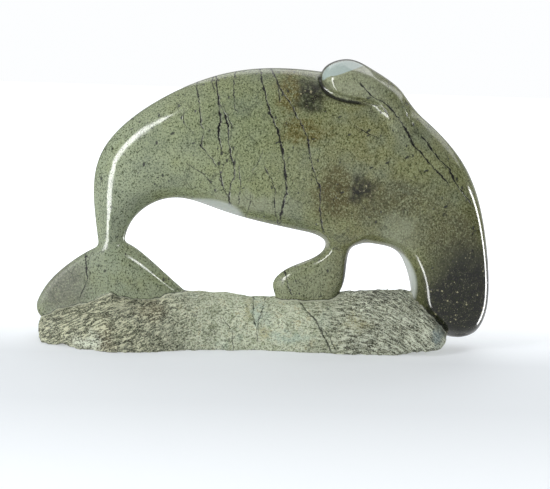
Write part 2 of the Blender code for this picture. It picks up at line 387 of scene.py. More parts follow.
def whale_field(drawing, x, y, z):
    """The polished whale: body and flukes, both flippers, and the groove round the folded one.

    Gives how deep in the groove and how far on the ground facet every point is as well, 0 to 1.
    """
    depth, half, bevel, place = drawing.read("body", x, z)
    body = slab(depth, half, bevel, y, np.interp(place, RIDGE_PLACES, RIDGE_RADII))
    lobe_depth, half, bevel, _ = drawing.read("folded", x, z)
    proud = BODY_THICKNESS / 2 + FOLDED_RELIEF - FOLDED_THICKNESS / 2
    lobe_slab = slab(lobe_depth, half, bevel, y + proud, FOLDED_RIDGE)
    px, py, pz = FACET_PLACE
    facet = FACET_LEAN[0] * (x - px) + FACET_LEAN[1] * (y - py) + FACET_LEAN[2] * (z - pz)
    lobe = np.where(x < FACET_END, soft_max([lobe_slab, facet], 0.5), lobe_slab)
    free = np.clip((98 - x) / 26, 0, 1)
    free = free * free * (3 - 2 * free)
    groove = free * np.exp(-(lobe_depth / GROOVE_WIDTH) ** 2) * np.clip((-y - 6) / 10, 0, 1)
    below = half - np.abs(y + proud)
    above = FACET_LEAN[0] * (x - px) + FACET_LEAN[2] * (z - pz)
    ground = (np.clip((below - 0.7) / 0.9, 0, 1) * np.clip((lobe_depth - 1.2) / 0.8, 0, 1)
              * np.clip(above + 0.5, 0, 1) * (x < FACET_END) * (y < 0))
    fillet = FOLDED_FILLET - (FOLDED_FILLET - FREE_FILLET) * free
    whale = melt(body + GROOVE_DEPTH * groove, lobe, fillet)
    for name, fillet in BLADES:
        depth, half, bevel, _ = drawing.read(name, x, z)
        whale = melt(whale, slab(depth, half, bevel, y, BLADE_RIDGE), fillet)
    return whale, groove, ground


def stone_field(drawing, x, y, z):
    """The whole block, cut off flat where it stands, and what the finish needs to know of a point.

    That is how much further off the rough stone is than the polish, the groove and the facet.
    """
    whale, groove, ground = whale_field(drawing, x, y, z)
    foot = foot_field(x, y, z) - foot_relief(x, y, z)
    stone = melt(whale, foot, FOOT_FILLET)
    return np.maximum(stone, -z), foot - whale, groove, ground


# The surface

def levels(low, high, spacing):
    """Evenly spaced levels from low to high, at most the given distance apart."""
    return np.linspace(low, high, int(np.ceil((high - low) / spacing)) + 1)


def upright_levels(top):
    """Levels that lie close together over the foot and further apart above it."""
    foot_top = FOOT_HEIGHT + 10
    blend_top = foot_top + 12
    middle = (SPACING_FOOT + SPACING_WHALE) / 2
    return np.concatenate([
        levels(-2.0 * SPACING_FOOT, foot_top, SPACING_FOOT)[:-1],
        levels(foot_top, blend_top, middle)[:-1],
        levels(blend_top, top, SPACING_WHALE),
    ])


def skin(axes, field):
    """The surface where a field on a grid of boxes is zero, as points and four-sided faces.

    Every box that the surface crosses gets one point, the mean of the zeros on the box's edges.
    Every grid edge that it crosses gets one face, between the four boxes around the edge.
    """
    solid = field < 0
    shape = np.array(field.shape) - 1
    corners = [(a, b, c) for a in (0, 1) for b in (0, 1) for c in (0, 1)]
    views = [solid[a:a + shape[0], b:b + shape[1], c:c + shape[2]] for a, b, c in corners]
    number_inside = sum(view.astype(np.int8) for view in views)
    boxes = np.argwhere((number_inside > 0) & (number_inside < 8))
    where = [boxes + corner for corner in corners]
    values = [field[tuple(w.T)] for w in where]
    places = [np.column_stack([axis[w[:, n]] for n, axis in enumerate(axes)]) for w in where]
    total = np.zeros((len(boxes), 3))
    crossings = np.zeros(len(boxes))
    for first, one in enumerate(corners):
        for second, two in enumerate(corners):
            if second > first and sum(abs(p - q) for p, q in zip(one, two)) == 1:
                crossed = (values[first] < 0) != (values[second] < 0)
                span = np.where(crossed, values[first] - values[second], 1)
                share = np.where(crossed, values[first] / span, 0)[:, None]
                zero = places[first] + share * (places[second] - places[first])
                total += np.where(crossed[:, None], zero, 0)
                crossings += crossed
    points = total / crossings[:, None]
    index = np.full(shape, -1, np.int64)
    index[tuple(boxes.T)] = np.arange(len(boxes))
    faces = []
    for axis in range(3):
        start = [slice(None)] * 3
        stop = [slice(None)] * 3
        start[axis], stop[axis] = slice(0, -1), slice(1, None)
        before, after = solid[tuple(start)], solid[tuple(stop)]
        edges = np.argwhere(before != after)
        side, other = (axis + 1) % 3, (axis + 2) % 3
        keep = ((edges[:, side] > 0) & (edges[:, other] > 0)
                & (edges[:, side] < shape[side]) & (edges[:, other] < shape[other]))
        edges = edges[keep]
        ring = []
        for back_side, back_other in ((1, 1), (0, 1), (0, 0), (1, 0)):
            box = edges.copy()
            box[:, side] -= back_side
            box[:, other] -= back_other
            ring.append(index[tuple(box.T)])
        quads = np.column_stack(ring)
        outward = before[tuple(edges.T)]
        faces.append(np.where(outward[:, None], quads, quads[:, ::-1]))
    return points, np.vstack(faces)


def settle(drawing, points, rounds=2, reach=0.25, limit=0.6):
    """Moves the points on to the zero of the field itself, along its slope, by no more than a limit."""
    for _ in range(rounds):
        value = stone_field(drawing, *points.T)[0]
        slope = np.zeros_like(points)
        for axis in range(3):
            aside = points.copy()
            aside[:, axis] += reach
            slope[:, axis] = (stone_field(drawing, *aside.T)[0] - value) / reach
        size = np.sum(slope ** 2, axis=1, keepdims=True) + 1e-3
        points = points - np.clip(value[:, None] * slope / size, -limit, limit)
    points[:, 2] = np.maximum(points[:, 2], 0)
    return points


def add_object(name, data):
    """Puts a mesh, a camera or a light in the scene."""
    added = bpy.data.objects.new(name, data)
    bpy.context.scene.collection.objects.link(added)
    return added


def carve():
    """The whole carving as one mesh, with its polish, groove and facet kept on the points."""
    drawing = Drawing()
    drawing.add("body", BODY_ROWS, SNOUT, BODY_THICKNESS, 260)
    drawing.add("flukes", FLUKE_ROWS, FLUKE_TIP, FLUKE_THICKNESS, 140)
    drawing.add("flipper", FLIPPER_ROWS, None, FLIPPER_THICKNESS, 90)
    drawing.add("folded", FOLDED_ROWS, FOLDED_TIP, FOLDED_THICKNESS, 110)
    low = np.array(node_low) / STEP - GRID_MARGINS
    high = np.array(node_high) / STEP + GRID_MARGINS
    axes = (levels(low[0], high[0], SPACING_X), levels(low[1], high[1], SPACING_Y),
            upright_levels(high[2]))
    x, z = np.meshgrid(axes[0], axes[2], indexing="ij")
    field = np.empty([len(axis) for axis in axes])
    for j, y in enumerate(axes[1]):
        field[:, j] = stone_field(drawing, x, np.full_like(x, y), z)[0]
    points, faces = skin(axes, field)
    points = settle(drawing, points)
    marks = stone_field(drawing, *points.T)[1:]
    mesh = bpy.data.meshes.new("carving")
    mesh.from_pydata(points * STEP, [], faces)
    for name, values in zip(("polish", "groove", "facet"), marks):
        mark = mesh.attributes.new(name, "FLOAT", "POINT")
        mark.data.foreach_set("value", values.astype(np.float32))
    mesh.shade_smooth()
    return add_object("carving", mesh)


carving = carve()
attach(carving, "root")
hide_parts(NODE)


# Finish

FRONT_FACE = 32.0  # millimetres from the middle of the stone to its polished face
LEAN = 0.05  # how far the veins run aside on their way through the stone
GLOSS_SHARE = 0.012  # what the surroundings add to a polished colour
POLISHED_LIGHT = 1.30  # how much brighter the studio shows a surface than its own colour
ROUGH_LIGHT = 1.16
DARKEST = 0.004  # no part of a stone's linear colour is less
FRONT_SHIFT = (5.1, 0, -8.8)  # from the stone to the drawing of its front, where
FRONT_STRETCH = (1.0374, 1, 1.0374)  # the veins and the patches have their places
STRAY = 34.0  # how far a patch's edge strays where the noise is strongest
COURSE_START, COURSE_SPAN = -210.0, 430.0  # the veins' curves: places, then heights
HEIGHT_SPAN, HEIGHT_MARGIN = 260.0, 0.02
VEIN_WIDTH = 0.9  # times the width in a vein's row
CHISEL_SLANT = math.radians(26)
STRATA_SLANT = math.radians(10)


def tone(red, green, blue, share=GLOSS_SHARE, light=POLISHED_LIGHT):
    """A colour as it looks in the studio, 0 to 255, as the polished stone's own linear colour."""
    linear = [((c / 255 + 0.055) / 1.055) ** 2.4 for c in (red, green, blue)]
    return [max(c - share, DARKEST) / light for c in linear] + [1.0]


def split_tone(*shown):
    """The same for the split stone, which mirrors nothing."""
    return tone(*shown, 0.0, ROUGH_LIGHT)


class Wiring:
    """Adds nodes to a tree and joins them: a socket is linked, anything else is set as a value."""

    def __init__(self, tree):
        self.tree = tree

    def feed(self, socket, value):
        if isinstance(value, bpy.types.NodeSocket):
            self.tree.links.new(value, socket)
        else:
            socket.default_value = value

    def node(self, kind, values=(), **settings):
        """A new shader node with its settings; the values go to its inputs, by name or number."""
        node = self.tree.nodes.new("ShaderNode" + kind)
        for name, value in settings.items():
            setattr(node, name, value)
        for name, value in dict(values).items():
            self.feed(node.inputs[name], value)
        return node

    def math(self, operation, *values):
        return self.node("Math", enumerate(values), operation=operation).outputs[0]

    def times(self, one, two):
        return self.math("MULTIPLY", one, two)

    def minus(self, one, two):
        return self.math("SUBTRACT", one, two)

    def greatest(self, result, *masks):
        for mask in masks:
            result = self.math("MAXIMUM", result, mask)
        return result

    def wander(self, value, noise, reach):
        """Shifts a value by the noise, up to half the reach either way."""
        return self.math("MULTIPLY_ADD", self.math("ADD", noise, -0.5), reach, value)

    def vector(self, operation, *values, **named):
        node = self.node("VectorMath", {**dict(enumerate(values)), **named}, operation=operation)
        return node.outputs["Value" if operation == "LENGTH" else "Vector"]

    def axes(self, vector):
        """The three parts of a vector, under their letters."""
        return self.node("SeparateXYZ", {0: vector}).outputs

    def mark(self, name):
        """What the mesh keeps on its points under this name."""
        return self.node("Attribute", attribute_name=name).outputs["Fac"]

    def ramp(self, value, low, high, start=0.0, end=1.0, kind="SMOOTHSTEP"):
        """Runs from start to end while the value runs from low to high, which may be a fall."""
        values = {"Value": value, "From Min": low, "From Max": high, "To Min": start, "To Max": end}
        return self.node("MapRange", values, interpolation_type=kind).outputs["Result"]

    def between(self, share, one, two):
        """Runs evenly from one value to the other while the share runs from 0 to 1."""
        return self.ramp(share, 0.0, 1.0, one, two, kind="LINEAR")

    def blend(self, share, one, two):
        values = {0: share, 6: one, 7: two}
        return self.node("Mix", values, data_type="RGBA").outputs[2]

    def coats(self, colour, finish, *coats):
        """Lays tones of a finish over a colour, each as far as its mask goes; a share thins it out.

        A coat may also be a colour that is worked out already.
        """
        for mask, coat, *share in coats:
            mask = self.times(mask, share[0]) if share else mask
            colour = self.blend(mask, colour, finish(*coat) if isinstance(coat, tuple) else coat)
        return colour

    def mapped(self, vector, place=(0, 0, 0), turn=(0, 0, 0), scale=(1, 1, 1)):
        values = {"Vector": vector, "Location": place, "Rotation": turn, "Scale": scale}
        return self.node("Mapping", values).outputs[0]

    def noise(self, vector, size, detail=2.0, roughness=0.5, distortion=0.0, output="Fac", **mapping):
        """Noise from 0 to 1 whose features are about as many millimetres as size."""
        values = {"Vector": self.mapped(vector, **mapping) if mapping else vector, "Scale": 1 / size,
                  "Detail": detail, "Roughness": roughness, "Distortion": distortion}
        return self.node("TexNoise", values).outputs[output]

    def placed(self, group, **values):
        return self.node("Group", values, node_tree=group).outputs[0]


def new_material(name):
    """A material that uses nodes, and its shader."""
    material = bpy.data.materials.new(name)
    material.use_nodes = True
    return material, material.node_tree.nodes["Principled BSDF"]


def new_group(name, vectors, numbers):
    """An empty node group that gives one mask: its wiring, its inputs by name and the mask's socket."""
    group = bpy.data.node_groups.new(name, "ShaderNodeTree")
    for labels, kind in ((vectors, "NodeSocketVector"), (numbers, "NodeSocketFloat")):
        for label in labels:
            group.interface.new_socket(label, in_out="INPUT", socket_type=kind)
    group.interface.new_socket("Mask", in_out="OUTPUT", socket_type="NodeSocketFloat")
    w = Wiring(group)
    given = {socket.name: socket for socket in group.nodes.new("NodeGroupInput").outputs}
    return group, w, given, group.nodes.new("NodeGroupOutput").inputs["Mask"]


def vein_group():
    """A vein: dark where the distance across it is less than its width, between two heights."""
    group, w, given, mask = new_group(
        "vein", (), ("Across", "Up", "Course", "Low", "High", "Width", "Slant"))
    course = w.math("MULTIPLY_ADD", given["Course"], COURSE_SPAN, COURSE_START)
    gap = w.times(w.math("ABSOLUTE", w.minus(given["Across"], course)), given["Slant"])
    line = w.ramp(gap, given["Width"], w.times(given["Width"], 0.25))
    above = w.ramp(w.minus(given["Up"], given["Low"]), -3.0, 2.0)
    below = w.ramp(w.minus(given["Up"], given["High"]), 3.0, -2.0)
    w.feed(mask, w.times(line, w.times(above, below)))
    return group


def stain_group():
    """An oval mask, for stains and for painted reflections and shade: 1 inside an ellipse round a
    centre, fading to 0 over its softness.
    """
    group, w, given, mask = new_group("stain", ("Position", "Centre", "Spread"), ("Softness",))
    away = w.vector("SUBTRACT", given["Position"], given["Centre"])
    reach = w.vector("LENGTH", w.vector("MULTIPLY", away, given["Spread"]))
    w.feed(mask, w.ramp(reach, w.math("ADD", 1.0, given["Softness"]), w.minus(1.0, given["Softness"])))
    return group


def fleck_group():
    """Flecks: one dot in each cell that a random number picks, of a random size."""
    group, w, given, mask = new_group("flecks", ("Position",), ("Cell", "Dot", "Share"))
    values = {"Vector": given["Position"], "Scale": w.math("DIVIDE", 1.0, given["Cell"])}
    cells = w.node("TexVoronoi", values)
    random = w.node("SeparateColor", {0: cells.outputs["Color"]}).outputs
    picked = w.math("LESS_THAN", random[0], given["Share"])
    radius = w.times(given["Dot"], w.math("MULTIPLY_ADD", random[1], 0.8, 0.4))
    radius = w.math("DIVIDE", radius, given["Cell"])
    dot = w.ramp(cells.outputs["Distance"], radius, w.times(radius, 0.6))
    w.feed(mask, w.times(picked, dot))
    return group


# Veins on the polished front, as (place, height) points in millimetres, with their widths
VEINS = (
    (((-60, 230), (-56, 217), (-53, 205), (-52, 193), (-49, 183), (-52, 173), (-43, 163), (-34, 151),
      (-31, 137), (-26, 124)), 0.75),
    (((-42, 234), (-38, 218), (-37, 209), (-35, 196), (-36, 182), (-33, 170)), 1.25),
    (((-38, 211), (-32, 203), (-28, 191), (-27, 175), (-25, 167), (-22, 156), (-22, 146), (-26, 135),
      (-27, 120)), 1.2),
    (((-45, 235), (-44, 226), (-41, 219)), 0.7),
    (((-25, 239), (-25, 227), (-23, 206), (-20, 203)), 0.6),
    (((-33, 208), (-25, 192), (-25, 182)), 0.5),
    (((-18, 156), (-16, 141), (-18, 120)), 0.55),
    (((-31, 158), (-34, 144), (-29, 132), (-24, 118)), 0.6),
    (((-64, 157), (-49, 148), (-41, 139)), 0.45),
    (((-7, 131), (-8, 120), (-12, 110)), 0.5),
    (((-68, 203), (-66, 190), (-59, 184)), 0.35),
    (((-4, 245), (-1, 232), (3, 219), (6, 209), (11, 197), (16, 185), (20, 172), (22, 158), (24, 146),
      (25, 137), (22, 126), (19, 104)), 1.25),
    (((5, 156), (11, 145), (15, 136), (14, 124), (18, 100)), 0.7),
    (((-6, 152), (-1, 160), (3, 170)), 0.45),
    (((4, 244), (12, 232), (18, 221), (27, 210), (31, 201), (37, 191), (42, 181), (44, 167), (48, 153),
      (54, 140), (54, 120), (58, 100)), 0.85),
    (((14, 228), (16, 213)), 0.6),
    (((84, 231), (94, 221), (104, 216), (113, 209), (125, 194), (133, 179), (139, 175), (148, 164),
      (160, 152), (167, 146)), 1.05),
    (((140, 187), (147, 179), (157, 167), (166, 159), (171, 148), (187, 130)), 0.9),
    (((86, 216.5), (97, 217.5), (105, 211), (112, 201)), 0.8),
    (((82, 194), (95, 187), (102, 184)), 0.4),
    (((-158, 76), (-156, 64), (-155, 57), (-155, 46), (-158, 39), (-162, 30)), 0.75),
    (((-150, 73), (-154, 64)), 0.5),
    (((22, 66), (25, 57), (28, 49), (31, 38)), 1.05),
)
FOOT_CRACKS = (
    (((31, 40), (40, 32), (46, 26), (54, 21), (58, 14), (62, 8), (66, 0), (69, -7)), 1.1),
    (((60, 14), (68, 5), (74, -6)), 0.6),
    (((-29, 19), (-20, 8), (-18, -7)), 0.5),
    (((-3, 35), (-2, 21), (1, 12), (3, 0)), 0.7),
    (((8, 34), (3, 17), (3, 8)), 0.5),
)

# The ground colour from the tail to the head, as (place, colour as it looks in the studio)
GROUND = ((0.0, (134, 142, 122)), (0.17, (149, 159, 134)), (0.33, (142, 151, 119)),
          (0.46, (132, 141, 105)), (0.58, (128, 133, 98)), (0.7, (128, 128, 90)),
          (0.85, (130, 133, 95)), (1.0, (122, 124, 88)))

# Stains as (place, height), how far they reach along and up, and softness; some of them are painted
# sheen or painted shade, as noted
# The third of these pale patches, along the inner bevel over the belly, is a painted sheen
PALE_AND_SHEEN = (((76, 232), (30, 13), 0.5), ((128, 100), (14, 16), 0.8), ((-12, 122), (42, 9), 0.7))
RUST = (((24, 222), (9, 20), 0.6), ((38, 190), (20, 10), 0.6), ((68, 134), (14, 22), 0.6))
BROWN = (((112, 130), (48, 18), 0.7), ((170, 104), (34, 24), 0.6), ((66, 134), (15, 24), 0.6))
SHADOW = (((44, 221), (15, 14), 0.45), ((91, 139), (11, 12), 0.6))
FOOT_RUST = (((-132, 0), (9, 14), 0.6), ((-93, 26), (11, 7), 0.7))
FOOT_OCHRE = (((-6, 24), (4, 10), 0.7), ((9, 8), (5, 8), 0.7), ((92, 18), (12, 6), 0.8))
FOOT_BLUE = (((4, 28), (4, 8), 0.6), ((34, 4), (18, 5), 0.6))

# Fields right through the stone, as (place, height), reach along and up, and reach in depth: painted
# pale reflections, painted dark edges, and duller gloss
# Painted reflections of the pale table and backdrop: a strip on the belly's underside and one on the
# chamfer inside the head's left edge
PAINTED_PALE_REFLECTIONS = (((-42, 119), (28, 13), 26), ((124, 66), (18, 30), 20))
# Painted shade down the lower flipper's right side and a painted dark reflection along the head's right
# edge
PAINTED_DARK_EDGES = (((77, 68), (9, 27), 9.5), ((204, 92), (14, 78), 24))
DULL = (((-181, 54), (46, 52), 60), ((9, 46), (12.5, 17), 60))


class Stone(Wiring):
    """Wiring for the stone's finish, with the places and noises that its layers have in common."""

    def __init__(self, tree):
        super().__init__(tree)
        self.vein, self.stain, self.flecks = vein_group(), stain_group(), fleck_group()
        self.stone = self.vector("SCALE", self.node("TexCoord").outputs["Object"], Scale=1000.0)
        self.plain = self.axes(self.stone)
        self.front = self.mapped(self.stone, place=FRONT_SHIFT, scale=FRONT_STRETCH)
        warp = self.noise(self.stone, 16, detail=5.0, roughness=0.62, output="Color")
        self.spread = self.vector("SCALE", self.vector("SUBTRACT", warp, (0.5, 0.5, 0.5)), Scale=STRAY)
        self.loose = self.vector("ADD", self.front, self.spread)
        self.along, _, self.up = self.axes(self.loose)
        self.cloud = self.noise(self.stone, 26.0, detail=4.0, place=(10, 20, 200))

    def patch(self, centre, radius, softness, depth_share=0.25):
        """A patch with a wavy edge on the front, which fades out into the stone behind it: a stain, and
        in places painted sheen or shade.
        """
        return self.placed(self.stain, Position=self.loose, Softness=softness,
                           Centre=(centre[0], -FRONT_FACE, centre[1]),
                           Spread=(1 / radius[0], depth_share / max(radius), 1 / radius[1]))

    def wall(self, centre, radius, reach):
        """A field with a plain edge, round the stone's middle and as deep as its reach."""
        return self.placed(self.stain, Position=self.stone, Softness=0.16,
                           Centre=(centre[0], 0, centre[1]),
                           Spread=(1 / radius[0], 1 / reach, 1 / radius[1]))

    def all_of(self, field, spots):
        """All patches or walls of one kind, as one mask."""
        return self.greatest(*[field(*spot) for spot in spots])

    def wavy(self, share, turn=(0, 0, 0), **mapping):
        """The places in the stone, shifted by a share of the spread, then turned and mapped."""
        shifted = self.vector("ADD", self.stone, self.vector("SCALE", self.spread, Scale=share))
        return self.mapped(self.mapped(shifted, turn=turn), **mapping)

    def dots(self, cell, dot, share, **mapping):
        return self.placed(self.flecks, Position=self.wavy(0.08, **mapping), Cell=cell, Dot=dot,
                           Share=share)


def set_course(curve, points):
    """Draws a vein's course on a curve, in straight runs; its points are (height, place) shares."""
    line = curve.mapping.curves[0]
    line.points[0].location = points[0]
    line.points[-1].location = points[-1]
    for u, v in points[1:-1]:
        line.points.new(u, v)
    for point in line.points:
        point.handle_type = "VECTOR"
    curve.mapping.extend = "HORIZONTAL"
    curve.mapping.update()


def veins(w):
    """The masks of the whale's veins and of the foot's cracks.

    A vein keeps to its course on the front, wanders a little, and leans as it goes into the stone.
    """
    front = w.axes(w.front)
    up = w.wander(front["Z"], w.noise(w.stone, 22.0, place=(90, 40, 10)), 3.0)
    across = w.wander(front["X"], w.noise(w.stone, 7.0, detail=3.0, roughness=0.6), 4.0)
    jag = w.noise(w.stone, 2.6, detail=3.0, roughness=0.7, place=(0, 30, 0))
    across = w.wander(across, jag, 3.4)
    behind = w.math("ADD", w.plain["Y"], FRONT_FACE)
    across = w.math("MULTIPLY_ADD", behind, -LEAN, across)
    width_change = w.ramp(w.noise(w.stone, 6.0, detail=3.0, place=(0, 0, 60)), 0.36, 0.66, 0.5, 1.5)
    height = w.math("MULTIPLY_ADD", up, 1 / HEIGHT_SPAN, HEIGHT_MARGIN)
    found = []
    for courses in (VEINS, FOOT_CRACKS):
        masks = []
        for points, width in courses:
            points = sorted((z, x) for x, z in points)
            curve = w.node("FloatCurve", {"Value": height})
            set_course(curve, [(z / HEIGHT_SPAN + HEIGHT_MARGIN, (x - COURSE_START) / COURSE_SPAN)
                               for z, x in points])
            (z0, x0), (z1, x1) = points[0], points[-1]
            masks.append(w.placed(
                w.vein, Across=across, Up=up, Course=curve.outputs[0], Low=z0, High=z1,
                Width=w.times(width_change, VEIN_WIDTH * width),
                Slant=(z1 - z0) / math.hypot(x1 - x0, z1 - z0)))
        found.append(w.greatest(*masks))
    return found


def ground_colour(w):
    """Grey green at the tail, olive and then brown towards the head, darker up on the back."""
    ground = w.node("ValToRGB", {0: w.ramp(w.along, -200.0, 210.0, kind="LINEAR")})
    marks = ground.color_ramp.elements
    for place, _ in GROUND[1:-1]:
        marks.new(place)
    for mark, (_, shown) in zip(marks, GROUND):
        mark.color = tone(*shown)
    return w.coats(
        ground.outputs[0], tone,
        (w.ramp(w.up, 165.0, 235.0), (104, 108, 74), 0.22),
        (w.ramp(w.cloud, 0.45, 0.72, 0.0, 0.55), (118, 127, 110)),
        (w.ramp(w.cloud, 0.5, 0.28, 0.0, 0.45), (132, 138, 92)))


def whale_colour(w, vein_lines):
    """The polished stone's colour, and the mask of its dark specks."""
    speckled = w.noise(w.stone, 4.5, detail=5.0, roughness=0.7, place=(3, 8, 1))
    grain = w.noise(w.stone, 1.35, detail=3.0, roughness=0.8, scale=(1, 1, 0.85))
    lilac, pale_and_sheen = w.patch((-176, 40), (24, 26), 0.5), w.all_of(w.patch, PALE_AND_SHEEN)
    shadow = w.times(w.all_of(w.patch, SHADOW), w.ramp(speckled, 0.36, 0.52, 0.45, 1.0))
    head = w.patch((189, 34), (46, 60), 0.42)
    dark_share = w.greatest(head, shadow)
    calm_share = w.ramp(w.greatest(lilac, pale_and_sheen), 0.0, 1.0, 1.0, 0.45)
    dark_grain = w.times(w.ramp(grain, 0.535, 0.6), w.ramp(w.cloud, 0.3, 0.7, 1.0, 0.8))
    light_grain = w.ramp(grain, 0.46, 0.39, 0.0, 0.55)

    specks = w.greatest(w.dots(5.5, 1.25, 0.5, scale=(1, 1, 0.6)),
                        w.dots(6.0, 1.0, 0.55, turn=(0, 0.5, 0), place=(30, 0, 0), scale=(0.4, 1, 1)),
                        w.dots(21.0, 1.6, 0.35, place=(0, 70, 0)))
    specks = w.times(specks, calm_share)
    dust = w.greatest(w.ramp(grain, 0.4, 0.35, 0.0, 0.6), w.dots(4.4, 1.1, 0.5, place=(0, 0, 55)))
    dust = w.times(w.times(dark_share, w.ramp(speckled, 0.42, 0.52)), dust)
    pale = w.greatest(w.dots(31.0, 1.7, 0.3, place=(0, 0, 33)), dust)

    # A net of hair cracks in some places, fainter than the veins
    cells = {"Vector": w.wavy(0.18, scale=(1, 0.5, 0.55)), "Scale": 1 / 9}
    net = w.node("TexVoronoi", cells, feature="DISTANCE_TO_EDGE").outputs["Distance"]
    some = w.ramp(w.noise(w.stone, 15.0, detail=3.0, place=(50, 0, 0)), 0.5, 0.6)
    crackle = w.times(w.ramp(net, 0.036, 0.012), some)

    # Ground, stains, mottling, specks, lines, and on the stone's own forms painted pale reflections,
    # painted dark edges, the facet's painted reflection and the groove's painted shade
    colour = w.coats(
        ground_colour(w), tone,
        (lilac, (115, 116, 105), 0.8),
        (pale_and_sheen, (146, 151, 126), 0.8),
        (w.patch((40, 52), (36, 26), 0.5), (146, 153, 128), 0.5),
        (w.all_of(w.patch, RUST), (104, 93, 51), w.ramp(speckled, 0.36, 0.54, 0.2, 0.85)),
        (w.all_of(w.patch, BROWN), (76, 69, 41), w.ramp(speckled, 0.36, 0.58, 0.25, 0.75)),
        (shadow, (36, 33, 28), 0.94),
        (head, (20, 20, 18), w.ramp(speckled, 0.45, 0.65, 1.0, 0.88)),
        (dark_grain, (54, 60, 36), calm_share),
        (light_grain, (172, 180, 142), w.ramp(dark_share, 0.0, 0.8, 1.0, 0.12)),
        (specks, (34, 36, 26), 0.9),
        (pale, (182, 176, 140), 0.85),
        (w.greatest(vein_lines, w.times(crackle, 0.42)), (10, 14, 8)),
        # painted pale reflections on the belly's underside and the head's inner chamfer
        (w.all_of(w.wall, PAINTED_PALE_REFLECTIONS), (200, 206, 200), 0.85),
        # painted shade on the lower flipper's right side and painted dark reflection on the head's right
        # edge
        (w.all_of(w.wall, PAINTED_DARK_EDGES), (26, 28, 20), 0.85),
        # the ground facet's pale bluish tone is a painted reflection of the light it faces
        (w.ramp(w.mark("facet"), 0.2, 0.8), (172, 188, 186), 0.8),
        # painted shade in the groove round the folded flipper
        (w.ramp(w.mark("groove"), 0.25, 0.8, 0.0, 0.9), (24, 28, 20)))
    return colour, specks


def foot_colour(w, foot_lines):
    """The split foot's colour and its relief: pale bruises of the point chisel over darker stone."""
    aslant = w.mapped(w.stone, turn=(0, CHISEL_SLANT, 0))
    strokes = w.noise(aslant, 1.5, roughness=0.6, distortion=0.3, scale=(0.26, 0.5, 1.0))
    chips = w.noise(w.stone, 1.5, detail=3.0, roughness=0.75, place=(7, 0, 0), scale=(0.75, 1, 1))
    calm = w.patch((4, 18), (66, 60), 0.6, depth_share=0)

    # On the right, long strokes that droop towards the foot's end
    past = w.greatest(w.math("ADD", w.plain["X"], -70.0), 0.0)
    droop = w.node("CombineXYZ", {"Z": w.times(w.times(past, past), 0.0054)}).outputs[0]
    threads = w.noise(w.vector("ADD", w.stone, droop), 1.4, roughness=0.6, distortion=0.5,
                      place=(0, 0, 71), scale=(0.2, 0.5, 1.0))
    strokes = w.between(w.ramp(w.plain["X"], 0.0, 50.0), strokes, threads)
    tooled = w.greatest(w.ramp(w.along, -100.0, -40.0, 0.68, 0.2),
                        w.ramp(w.along, 20.0, 80.0, 0.0, 0.66))
    stroke_mix = w.between(tooled, chips, strokes)

    # On the left, the ledge's thin strata
    level = w.mapped(w.stone, place=(0, 0, 33), turn=(0, STRATA_SLANT, 0))
    strata = w.noise(level, 2.6, distortion=0.4, scale=(0.08, 0.2, 1.0))
    ledge = w.patch((-140, 34), (62, 12), 0.4, depth_share=0)
    strata_light = w.times(w.ramp(strata, 0.54, 0.6), w.ramp(chips, 0.4, 0.5))
    fine = w.noise(w.stone, 0.95, roughness=0.7, place=(0, 90, 0))
    chalky = w.patch((-146, -2), (13, 8), 0.6)
    bruises = w.greatest(w.ramp(stroke_mix, 0.52, 0.565), w.times(ledge, strata_light),
                         w.ramp(fine, 0.55, 0.61, 0.0, 0.9), w.times(chalky, w.ramp(chips, 0.46, 0.54)))
    pits = w.greatest(w.ramp(stroke_mix, 0.475, 0.425), w.times(ledge, w.ramp(strata, 0.44, 0.4)),
                      w.ramp(fine, 0.45, 0.38))

    # Darker at the ends, marbled and pale in the middle
    marble = w.noise(w.stone, 7.0, detail=4.0, roughness=0.65, distortion=0.8, place=(0, 0, 300))
    marbled = w.coats(
        split_tone(164, 174, 138), split_tone,
        (w.ramp(marble, 0.36, 0.62), (224, 232, 204)),
        (w.ramp(marble, 0.55, 0.63, 0.0, 0.6), (184, 176, 122)),
        (w.ramp(w.cloud, 0.56, 0.68, 0.0, 0.35), (190, 214, 200)))
    chalk = w.greatest(chalky, calm, w.ramp(w.along, 40.0, 90.0))
    bruise_colour = w.blend(chalk, split_tone(214, 215, 184), split_tone(232, 238, 216))
    colour = w.coats(
        split_tone(124, 129, 104), split_tone,
        (w.ramp(w.cloud, 0.35, 0.65), (138, 143, 124)),
        (w.ramp(w.along, 60.0, 120.0), (166, 170, 146)),
        (calm, marbled),
        (w.all_of(w.patch, FOOT_RUST), (106, 90, 58), 0.65),
        # painted shade on the foot's top under the arch
        (w.patch((106, 50), (38, 9), 0.6), (84, 84, 80), 0.8),
        (pits, (54, 56, 40), w.ramp(calm, 0.0, 1.0, 0.95, 0.68)),
        (bruises, bruise_colour, w.ramp(calm, 0.0, 1.0, 0.95, 0.6)),
        (w.patch((166, 10), (5, 9), 0.6), (138, 158, 160), 0.6),
        (w.all_of(w.patch, FOOT_OCHRE), (166, 158, 100), w.ramp(chips, 0.44, 0.56, 0.1, 0.55)),
        (w.all_of(w.patch, FOOT_BLUE), (176, 202, 192), 0.35),
        (foot_lines, (44, 48, 36), 0.85))

    tooling = w.times(w.minus(strokes, 0.5), w.ramp(calm, 0.0, 1.0, 3.4, 1.6))
    grit = w.times(w.minus(chips, 0.5), 2.4)
    return colour, w.minus(w.math("ADD", tooling, grit), w.times(foot_lines, 0.8))


